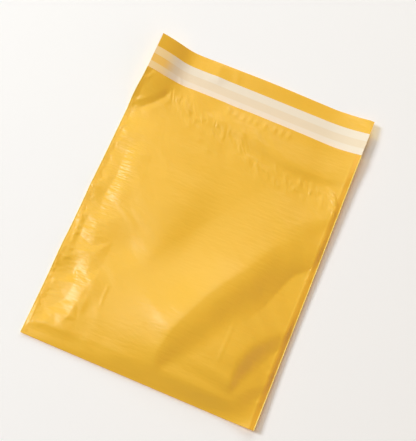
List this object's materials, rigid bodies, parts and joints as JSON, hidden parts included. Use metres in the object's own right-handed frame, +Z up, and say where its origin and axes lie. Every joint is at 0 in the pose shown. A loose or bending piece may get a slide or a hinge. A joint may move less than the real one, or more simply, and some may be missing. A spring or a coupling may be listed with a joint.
{
  "type": "plastic film mailing bag",
  "caption": "Flat rectangular mailing bag of yellow plastic film, folded at the bottom and welded down both sides, with a peel-and-seal flap whose adhesive strip is under a white release liner.",
  "frame": {"origin": "on the table, under the middle of the bag's overall box", "axes": "+Z up off the table, +Y along the bag from the bottom fold to the flap, +X to the right as seen from above with the flap at the top"},
  "size_m": [0.2497, 0.35, 0.0212],
  "materials": {
    "yellow_film": "golden-yellow blown polythene film, opaque, soft satin gloss with fine wrinkles",
    "hot_melt_adhesive": "cream hot-melt pressure adhesive",
    "release_liner": "translucent milky white release film, satin"
  },
  "bodies": {
    "root": {"bag_film": "yellow_film", "adhesive_strip": "hot_melt_adhesive", "release_liner": "release_liner"}
  },
  "joints": []
}
